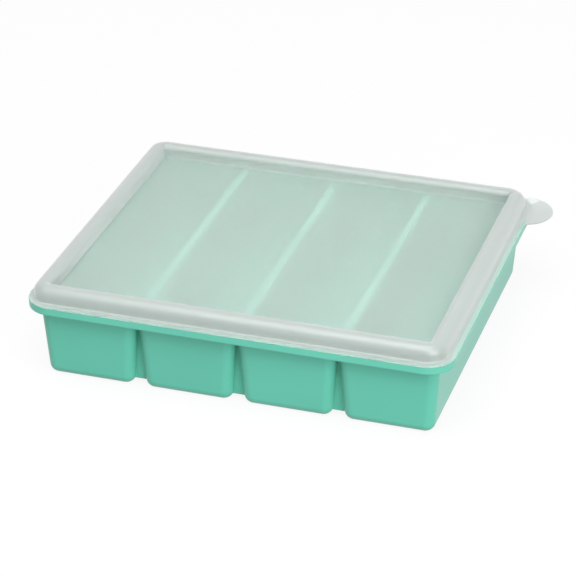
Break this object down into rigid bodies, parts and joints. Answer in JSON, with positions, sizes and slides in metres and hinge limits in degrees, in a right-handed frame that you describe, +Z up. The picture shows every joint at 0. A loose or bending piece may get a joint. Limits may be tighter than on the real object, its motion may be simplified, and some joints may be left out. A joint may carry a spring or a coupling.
{
  "type": "baby food freezer tray",
  "caption": "Soft portion-freezing tray with long drafted pockets side by side, a wire-stiffened rim and a frosted snap-over lid with a hollow raised bead and a pull tab.",
  "frame": {"origin": "on the shelf plane, under the middle of the whole object's bounding box, pull tab included", "axes": "+X to the right as in the picture, across the pockets and towards the pull tab; +Y from front to back, along the pockets; +Z up, the way the lid lifts"},
  "size_m": [0.2144, 0.1788, 0.0472],
  "materials": {
    "silicone": "smooth matte silicone",
    "steel": "drawn wire",
    "frosted_plastic": "frosted, translucent"
  },
  "bodies": {
    "tray": {"tray": "silicone", "rim_wire": "steel"},
    "lid": {"lid": "frosted_plastic"}
  },
  "joints": [
    {"name": "lid_lift", "type": "slide", "parent": "tray", "child": "lid", "axis": [0, 0, 1], "range_m": [0, 0.06]}
  ]
}
